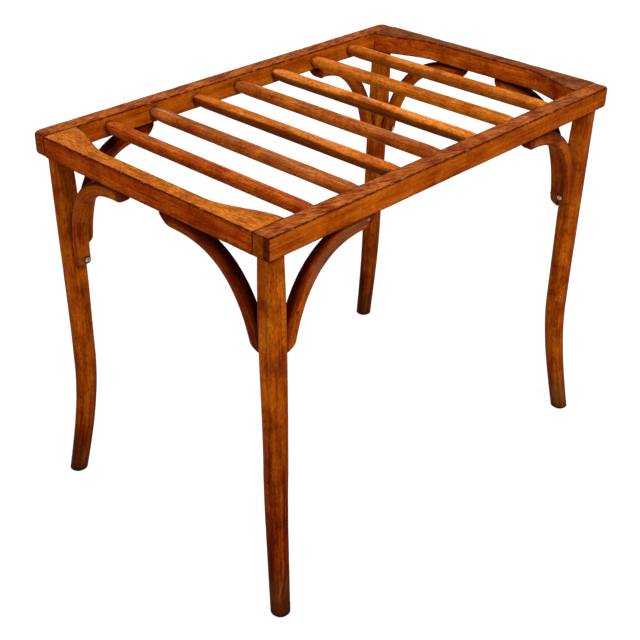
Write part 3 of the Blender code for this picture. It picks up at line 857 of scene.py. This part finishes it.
def add_long_rail(node, side, seed):
    rings = [long_rail_ring(side, distance) for distance in spread(TOP_LENGTH, RING_STEP, LONG_RAIL_RINGS)]
    rail, _ = skin(node + "_wood", rings, LONG_RAIL_CAP_SHARES)
    cut_sockets(rail, side)
    smooth(rail.data)
    records = [long_rail_record(side, vertex.co) for vertex in rail.data.vertices]
    half = TOP_LENGTH / 2

    def stains(point):
        from_end = half - abs(point.x)
        amount = gathered(*END_GRAIN_DIRT, from_end)
        if 0 < from_end < END_RAIL_SHOULDER and abs(abs(point.y) - INNER_FACE) < RAIL_JOINT_BAND:
            amount = max(amount, RAIL_JOINT_DIRT)
        for x in slat_places():
            off = math.hypot(point.x - x, point.z - RAIL_MIDDLE) - SLAT_END_RADIUS
            if abs(point.y) < INNER_FACE + SOCKET_FACE_DEPTH:
                amount = max(amount, gathered(*SOCKET_DIRT, off))
            elif abs(point.y) < INNER_FACE + SLAT_SOCKET_DEPTH and off < SOCKET_WALL_GAP:
                amount = 1.0
        return amount

    def aged_and_shade(point, normal, record):
        """Old varnish left dark on the end, and a darker band beside the outer corner."""
        if half - abs(point.x) > CORNER_RADIUS or abs(normal.y) > FACES_SIDE:
            return 0.0
        at_corner = eased(TOP_DEPTH / 2 - abs(point.y), *CORNER_DARK_BAND_RANGE)
        return END_VARNISH + CORNER_DARK_BAND * at_corner * (1.0 - eased(abs(normal.z), *FACES_UP_RANGE))

    finish_wood(rail, node, LONG_RAIL_FINISH, records, seed, LONG_RAIL_WEAR, stains, aged_and_shade)


def end_rail_width(y):
    share = (abs(y) - (INNER_FACE - OGEE_LENGTH)) / OGEE_LENGTH
    return END_RAIL_WAIST + (END_RAIL_SHOULDER - END_RAIL_WAIST) * smooth_step(share)


def add_end_rail(node, side, seed):
    half = INNER_FACE - FIT
    rings = []
    for distance in spread(2 * half, END_RAIL_STEP, END_RAIL_RINGS):
        y = distance - half
        end = quarter_inset(min(distance, 2 * half - distance), JOINT_ARRIS)
        width = end_rail_width(y)
        ring = []
        for a, b, off in section(end, width - end, RAIL_UNDERSIDE + end, TOP_HEIGHT - end, (ARRIS,) * 4):
            point = Vector((side * (TOP_LENGTH / 2 - a), y, b))
            ring.append((point, (y, a, b - RAIL_MIDDLE, off)))
        rings.append(ring)
    rail, records = skin(node + "_wood", rings)

    def stains(point):
        return gathered(*END_JOINT_DIRT, half - abs(point.y))

    material = LEFT_RAIL_FINISH if side < 0 else RIGHT_RAIL_FINISH
    finish_wood(rail, node, material, records, seed, END_RAIL_WEAR, stains)


def add_slat(number, x, seed):
    node = "slat_%d" % number
    end = INNER_FACE + SLAT_SOCKET_DEPTH - FIT
    swell = SLAT_RADIUS - SLAT_END_RADIUS
    rings = []
    for distance in spread(2 * end, RING_STEP, SLAT_RINGS):
        y = distance - end
        share = min(max((abs(y) - (INNER_FACE - SLAT_TAPER)) / SLAT_TAPER, 0.0), 1.0)
        around = circle(SLAT_END_RADIUS + swell * (1 - share * share), SLAT_SIDES)
        rings.append([(Vector((x + a, y, RAIL_MIDDLE + b)), (y, a, b, FAR_FROM_ARRIS)) for a, b in around])
    slat, records = skin(node + "_wood", rings)

    def stains(point):
        return gathered(*SLAT_END_DIRT, INNER_FACE - abs(point.y))

    finish_wood(slat, node, SLAT_FINISHES[number - 1], records, seed, SLAT_WEAR, stains)


def leg_inset(axis, height):
    if height >= LEG_KNEE_HEIGHT:
        span = RAIL_UNDERSIDE - LEG_KNEE_HEIGHT
        share = (RAIL_UNDERSIDE - height) / span
        return hermite(LEG_TOP_INSET[axis], LEG_TOP_LEAN, LEG_KNEE_INSET[axis], 0.0, span, share)
    share = (LEG_KNEE_HEIGHT - height) / LEG_KNEE_HEIGHT
    foot = LEG_FOOT_INSET[axis]
    return hermite(LEG_KNEE_INSET[axis], 0.0, foot, -LEG_FOOT_LEAN[axis], LEG_KNEE_HEIGHT, share)


def leg_side(height):
    if height >= LEG_KNEE_HEIGHT:
        share = (RAIL_UNDERSIDE - height) / (RAIL_UNDERSIDE - LEG_KNEE_HEIGHT)
        return LEG_TOP_SIDE + (LEG_KNEE_SIDE - LEG_TOP_SIDE) * math.sin(share * math.pi / 2)
    return LEG_FOOT_SIDE + (LEG_KNEE_SIDE - LEG_FOOT_SIDE) * height / LEG_KNEE_HEIGHT


def leg_corner_radius(height):
    share = (RAIL_UNDERSIDE - height) / (RAIL_UNDERSIDE - LEG_KNEE_HEIGHT)
    round_radius = leg_side(height) / 2
    return LEG_TOP_ROUND + (round_radius - LEG_TOP_ROUND) * smooth_step(share)


def leg_inner_face(axis, height):
    return leg_inset(axis, height) + leg_side(height) / 2


def add_leg(corner, seed):
    node = "leg_" + corner
    top = RAIL_UNDERSIDE - FIT
    rings = []
    for height in spread(top, RING_STEP, LEG_RINGS):
        side = leg_side(height) - 2 * max(0.0, LEG_FOOT_CHAMFER - height)
        half = side / 2
        radius = min(leg_corner_radius(height), half * LEG_ROUNDEST)
        round_off = LEG_ROUND_OFF * eased(radius, *LEG_ROUND_RANGE)
        ring = []
        for a, b, off in section(-half, half, -half, half, (radius,) * 4, ROUND_ARC_STEPS):
            point = corner_point(corner, leg_inset(0, height) + a, leg_inset(1, height) + b, height)
            ring.append((point, (height, a, b, off + round_off)))
        rings.append(ring)
    leg, records = skin(node + "_wood", rings)

    def stains(point):
        foot = gathered(*FOOT_DIRT, point.z - FOOT_DIRT_HEIGHT) + gathered(*SHIN_DIRT, point.z)
        return min(1.0, foot + gathered(*LEG_JOINT_DIRT, top - point.z))

    def aged_and_shade(point, normal, record):
        varnish = gathered(*LEG_VARNISH[corner], point.z) * eased(point.z, *LEG_VARNISH_RANGE)
        # Painted light: the varnish is paler on faces turned to the front
        front = 1.0 - LEG_FRONT_PAINTED_LIGHT * smooth_step(-normal.y * LEG_FRONT_LIGHT_RATE)
        dusty = 1.0 - LEG_DUST * eased(point.z, *LEG_DUST_RANGE)
        return varnish * front * dusty

    def dull(point, normal, record):
        return LEG_DULLNESS * eased(point.z, *LEG_DULL_RANGE)

    finish_wood(leg, node, LEG_FINISH, records, seed, LEG_WEAR, stains, aged_and_shade, dull)


def bracket_line(corner, kind):
    """The bent centre line from the tip under the rail to the end on the leg, as (inset, height)."""
    drop, reach = BRACKET_DROPS[kind][corner], BRACKET_REACHES[kind][corner]
    lower = RAIL_UNDERSIDE - drop
    leg_end = Vector((leg_inner_face(ALONG[kind], lower) + BRACKET_THICKNESS / 2 - BRACKET_SEAT_CUT, lower))
    rail_end = Vector((leg_end.x + reach, RAIL_UNDERSIDE - FIT - BRACKET_THICKNESS / 2))
    handle_1 = rail_end - Vector((BRACKET_RAIL_HANDLE * reach, 0))
    lean = Vector((math.sin(BRACKET_LEG_LEAN), math.cos(BRACKET_LEG_LEAN)))
    handle_2 = leg_end + BRACKET_LEG_HANDLE * drop * lean
    points = [rail_end + Vector((BRACKET_RUN[kind], 0))]
    for i in range(BRACKET_LINE_STEPS + 1):
        t = i / BRACKET_LINE_STEPS
        s = 1 - t
        start = s ** 3 * rail_end + 3 * s * s * t * handle_1
        points.append(start + 3 * s * t * t * handle_2 + t ** 3 * leg_end)
    return points


def along_line(points, distance):
    """The place at a distance along a line, and the line's direction there."""
    for start, end in zip(points[:-1], points[1:]):
        step = end - start
        if distance <= step.length or end is points[-1]:
            direction = step.normalized()
            return start + direction * distance, direction
        distance -= step.length


def line_length(points):
    return sum((b - a).length for a, b in zip(points[:-1], points[1:]))


def bracket_plane_inset(corner, kind, height):
    """The inset of a bracket's middle plane, which runs from the rail's middle to that of the leg."""
    rail_middle = (END_RAIL_WAIST if kind == "end" else LONG_RAIL_WIDTH) / 2
    drop = BRACKET_DROPS[kind][corner]
    share = (RAIL_UNDERSIDE - height) / drop
    return rail_middle + (leg_inset(1 - ALONG[kind], RAIL_UNDERSIDE - drop) - rail_middle) * share


def bracket_point(corner, kind, inset_along, inset_across, height):
    if kind == "end":
        return corner_point(corner, inset_across, inset_along, height)
    return corner_point(corner, inset_along, inset_across, height)


def nose_cut(distance, nose):
    """How much thinner a bracket is at a distance from a rounded end."""
    if distance >= nose:
        return 0.0
    share = (nose - distance) / nose
    return (BRACKET_THICKNESS - BRACKET_END_THICKNESS) * (1 - math.sqrt(1 - share * share))


def bracket_rings(corner, kind, line, length):
    half = BRACKET_THICKNESS / 2
    side = BRACKET_WIDTH / 2
    rings = []
    for distance in spread(length, BRACKET_STEP, BRACKET_RINGS):
        centre, direction = along_line(line, distance)
        outward = Vector((direction.y, -direction.x))
        cut = nose_cut(distance, BRACKET_TIP_NOSE) + nose_cut(length - distance, BRACKET_LEG_NOSE)
        radius = min(BRACKET_ROUND, (2 * half - cut) / 2 * BRACKET_ROUNDEST)
        ring = []
        for across, out, off in section(-side, side, cut - half, half, (radius,) * 4, ROUND_ARC_STEPS):
            place = centre + outward * out
            height = min(place.y, RAIL_UNDERSIDE - FIT)
            inset = max(place.x, leg_inner_face(ALONG[kind], height) + FIT)
            plane = bracket_plane_inset(corner, kind, height)
            point = bracket_point(corner, kind, inset, plane + across, height)
            ring.append((point, (distance, across, out, off)))
        rings.append(ring)
    return rings


def add_bracket(corner, kind, seed):
    node = kind + "_bracket_" + corner
    line = bracket_line(corner, kind)
    length = line_length(line)
    bracket, records = skin(node + "_wood", bracket_rings(corner, kind, line, length))
    half = BRACKET_THICKNESS / 2
    drop = BRACKET_DROPS[kind][corner]
    convex_fade, flank_shade = BRACKET_SHADES.get(kind + "_" + corner, BRACKET_SHADE)
    dull_and_sheen = BRACKET_DULL_AND_SHEEN.get(kind + "_" + corner, BRACKET_DULL_AND_SHEEN_DEFAULT)
    screws = [origin for origin, _ in screw_axes(corner, kind)]

    def stains(point):
        under_rail = gathered(*BRACKET_SEAT_DIRT, RAIL_UNDERSIDE - FIT - point.z)
        inset = TOP_DEPTH / 2 - abs(point.y) if kind == "end" else TOP_LENGTH / 2 - abs(point.x)
        on_leg = gathered(*BRACKET_SEAT_DIRT, inset - leg_inner_face(ALONG[kind], point.z))
        foot = gathered(*BRACKET_END_DIRT, point.z - (RAIL_UNDERSIDE - drop))
        return min(1.0, max(under_rail, on_leg) + foot)

    def aged_and_shade(point, normal, record):
        """Painted shadow and dirt on the convex side, painted shade on the flanks, thick dark varnish on the
        nose, and a ring of dirt at the screws.
        """
        distance, across, out, _ = record
        # Painted shadow and dirt on the convex side under the rail, less beside it and lower down; painted
        # shade on the flanks
        rubbed = 1.0 - convex_fade * eased(-across, *CONVEX_FADE_RANGE)
        low = 1.0 - LOW_PALING * eased((RAIL_UNDERSIDE - point.z) / drop, *LOW_RANGE)
        convex = CONVEX_SHADOW_AND_DIRT * eased(out / half, *CONVEX_OUT_RANGE) * rubbed * low
        flank = flank_shade * eased(out / half, *FLANK_OUT_RANGE)
        nose = NOSE_VARNISH * eased(distance, *NOSE_RANGE)
        dirt = [gathered(*SCREW_RING_DIRT, (point - screw).length - SCREW_HEAD_RADIUS) for screw in screws]
        return max(convex, flank, nose, *dirt)

    def dull(point, normal, record):
        """Haze of dull varnish on one flank, with a painted highlight, from the tip to past the middle."""
        distance, across, out, _ = record
        upper = 1.0 - eased(distance / length, *DULL_SHEEN_LENGTH_RANGE)
        around = eased(-across, *DULL_SHEEN_ACROSS_RANGE) * eased(out / half, *DULL_SHEEN_FROM_OUT_RANGE)
        return dull_and_sheen * upper * around * (1.0 - eased(out / half, *DULL_SHEEN_TO_OUT_RANGE))

    finish_wood(
        bracket, node, BRACKET_FINISH, records, seed, BRACKET_WEAR, stains, aged_and_shade, dull)


def screw_axis(corner, kind, distance):
    """Where a screw's head sits on the concave side, and the way it is driven."""
    centre, direction = along_line(bracket_line(corner, kind), distance)
    outward = Vector((direction.y, -direction.x))
    seat = centre - outward * (BRACKET_THICKNESS / 2 + FIT)
    plane = bracket_plane_inset(corner, kind, seat.y)
    origin = bracket_point(corner, kind, seat.x, plane, seat.y)
    target = bracket_point(corner, kind, centre.x, plane, centre.y)
    return origin, (target - origin).normalized()


def screw_axes(corner, kind):
    """The screw through the end on the leg, and the one through the tip."""
    length = line_length(bracket_line(corner, kind))
    return screw_axis(corner, kind, length - SCREW_FROM_LEG_END), screw_axis(corner, kind, SCREW_FROM_TIP)


def screw_dirt(point, turn):
    """Full in the slot, some at its edges and the rim, and none on the rubbed dome."""
    off = math.hypot(point.x, point.y) / SCREW_HEAD_RADIUS
    beside = abs(point.y * math.cos(turn) - point.x * math.sin(turn))
    dome = -SCREW_HEAD_HEIGHT * math.sqrt(max(0.0, 1 - off ** 2))
    at_edge = 0.0
    if beside < SCREW_SLOT_REACH:
        if point.z > dome + SCREW_SLOT_SKIN:
            return 1.0
        at_edge = SCREW_EDGE_DIRT
    return max(at_edge, eased(off, *SCREW_RIM_RANGE))


def screw_profile(length):
    """Radius and height from the shank's tip to the top of the domed head."""
    shank, head = SCREW_SHANK_RADIUS, SCREW_HEAD_RADIUS
    profile = [(SCREW_TIP_RADIUS, length), (shank, length - 2 * shank), (shank, 0.0),
               (head * SCREW_SEAT_SHARE, 0.0), (head, -SCREW_RIM_HEIGHT)]
    dome = SCREW_HEAD_HEIGHT - SCREW_RIM_HEIGHT
    for i in range(1, SCREW_DOME_STEPS):
        angle = math.pi / 2 * i / SCREW_DOME_STEPS
        profile.append((head * math.cos(angle), -SCREW_RIM_HEIGHT - dome * math.sin(angle)))
    return profile


def add_screw(node, axis, grip, seed):
    """A domed, slotted head on a plain shank."""
    rings = [
        [(Vector((a, b, z)), NO_RECORD) for a, b in circle(radius, SCREW_SIDES)]
        for radius, z in screw_profile(BRACKET_THICKNESS + 2 * FIT + grip)]
    screw, _ = skin(node + "_steel", rings, SCREW_CAP_SHARES)
    origin, direction = axis
    placed = direction.to_track_quat("Z", "Y").to_matrix().to_4x4()
    upright = placed.inverted() @ Vector((0, 0, 1))
    turn = math.atan2(upright.y, upright.x) + SCREW_SLOT_TURN * math.sin(seed * SCREW_SEED_STEP)
    slot = Matrix.Rotation(turn, 4, "Z") @ Matrix.Translation((0, 0, -SCREW_HEAD_HEIGHT))
    size = Matrix.Diagonal((3 * SCREW_HEAD_RADIUS, SCREW_SLOT_WIDTH, 2 * SCREW_SLOT_DEPTH, 1.0))
    shape = bmesh.new()
    bmesh.ops.create_cube(shape, size=1.0, matrix=slot @ size)
    carve(screw, shape)
    dirt = [screw_dirt(vertex.co, turn) for vertex in screw.data.vertices]
    screw.data.attributes.new("dirt", "FLOAT", "POINT").data.foreach_set("value", dirt)
    screw.data.transform(Matrix.Translation(origin) @ placed)
    smooth(screw.data, SCREW_SHARP_ANGLE)
    settle(screw, node, STEEL_FINISH)


def add_floor():
    mesh = bpy.data.meshes.new("floor")
    signs = ((-1, -1), (1, -1), (1, 1), (-1, 1))
    points = [(x * FLOOR_HALF_SIZE, y * FLOOR_HALF_SIZE, FLOOR_HEIGHT) for x, y in signs]
    mesh.from_pydata(points, [], [(0, 1, 2, 3)])
    floor = link_object("floor", mesh)
    g = Graph(bpy.data.materials.new("floor_paper"))
    g.tree.nodes.clear()
    paper = g.light("BsdfDiffuse", {"Color": FLOOR_COLOUR})
    glow = g.light("Emission", {"Color": WHITE, "Strength": FLOOR_GLOW})
    g.show("OutputMaterial", paper, g.light("AddShader", {0: paper, 1: glow}))
    floor.data.materials.append(g.owner)


def add_world():
    g = Graph(bpy.data.worlds.new("studio"))
    bpy.context.scene.world = g.owner
    g.tree.nodes.clear()
    room = g.light("Background", {"Color": ROOM_COLOUR, "Strength": ROOM_STRENGTH})
    white = g.light("Background", {"Color": WHITE, "Strength": 1.0})
    g.show("OutputWorld", room, white)


def add_lamp(name, place, size, power, mirrored):
    lamp = bpy.data.lights.new(name, "AREA")
    lamp.shape = "DISK"
    lamp.size = size
    lamp.energy = power
    obj = link_object(name, lamp)
    obj.visible_glossy = mirrored
    obj.location = place
    obj.rotation_mode = "QUATERNION"
    obj.rotation_quaternion = (Vector(LAMP_AIM) - Vector(place)).to_track_quat("-Z", "Y")


def add_camera():
    """The photograph's view, solved from the top's straight edges and the feet."""
    level = math.cos(CAMERA_PITCH)
    forward = Vector((math.sin(CAMERA_YAW) * level, math.cos(CAMERA_YAW) * level, -math.sin(CAMERA_PITCH)))
    level_right = forward.cross(Vector((0, 0, 1))).normalized()
    level_up = level_right.cross(forward)
    right = math.cos(CAMERA_ROLL) * level_right + math.sin(CAMERA_ROLL) * level_up
    up = math.cos(CAMERA_ROLL) * level_up - math.sin(CAMERA_ROLL) * level_right
    lens = bpy.data.cameras.new("camera")
    lens.sensor_width = CAMERA_SENSOR
    lens.lens = CAMERA_LENS
    lens.clip_start = CAMERA_CLIP_START
    camera = link_object("camera", lens)
    turned = Matrix((right, up, -forward)).transposed().to_4x4()
    camera.matrix_world = Matrix.Translation(CAMERA_PLACE) @ turned
    bpy.context.scene.camera = camera


def main():
    seeds = itertools.count(1)
    add_long_rail("front_rail", -1, next(seeds))
    add_long_rail("back_rail", 1, next(seeds))
    add_end_rail("left_end_rail", -1, next(seeds))
    add_end_rail("right_end_rail", 1, next(seeds))
    for number, x in enumerate(slat_places(), start=1):
        add_slat(number, x, next(seeds))
    for corner in CORNERS:
        add_leg(corner, next(seeds))
        for kind in ("end", "long"):
            seed = next(seeds)
            add_bracket(corner, kind, seed)
            leg_axis, rail_axis = screw_axes(corner, kind)
            add_screw("%s_leg_screw_%s" % (kind, corner), leg_axis, SCREW_IN_LEG, seed)
            add_screw("%s_rail_screw_%s" % (kind, corner), rail_axis, SCREW_IN_RAIL, seed + 0.5)
    add_floor()
    add_world()
    for lamp in LAMPS:
        add_lamp(*lamp)
    add_camera()
    bpy.context.scene.view_settings.view_transform = "Standard"


main()
